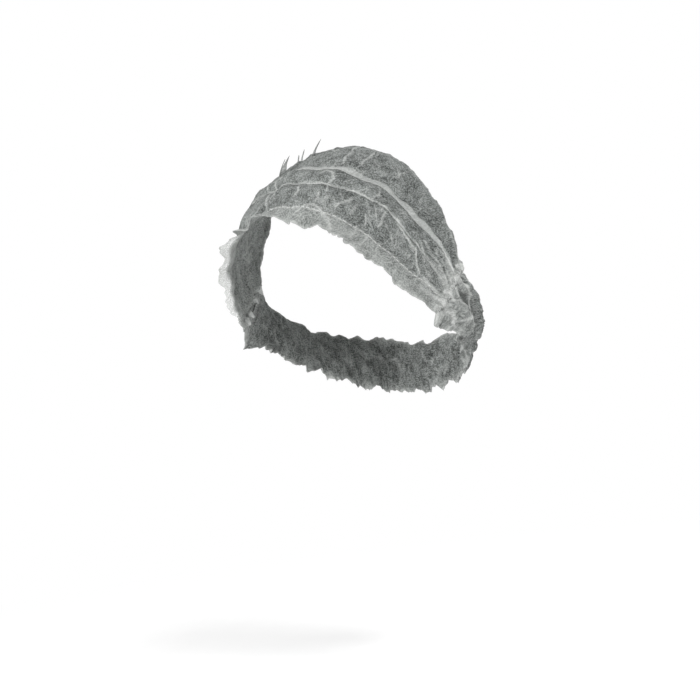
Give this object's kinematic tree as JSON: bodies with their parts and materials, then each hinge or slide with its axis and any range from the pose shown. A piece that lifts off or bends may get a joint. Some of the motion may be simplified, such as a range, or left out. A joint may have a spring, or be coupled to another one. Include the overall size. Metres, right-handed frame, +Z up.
{
  "type": "disposable non-woven headband",
  "caption": "Broad disposable headband of thin white non-woven cloth, pleated over the crown, with a ruffled front hem and a gathered elastic sleeve round the nape.",
  "frame": {"origin": "centre of the head that fills the band, level with the side seams", "axes": "+Z up, -Y to the wearer's front, +X to the wearer's left"},
  "size_m": [0.1798, 0.1718, 0.1849],
  "materials": {
    "cloth": "thin spun-bond non-woven, matt, see-through between its fibres",
    "casing_cloth": "the same non-woven, gathered, matt",
    "elastic": "flat covered elastic, matt",
    "seam_cloth": "bunched non-woven with white overlock thread, matt"
  },
  "bodies": {
    "root": {"front_panel": "cloth", "back_casing": "casing_cloth", "elastic_strip": "elastic", "side_seam_left": "seam_cloth", "side_seam_right": "seam_cloth"}
  },
  "joints": []
}
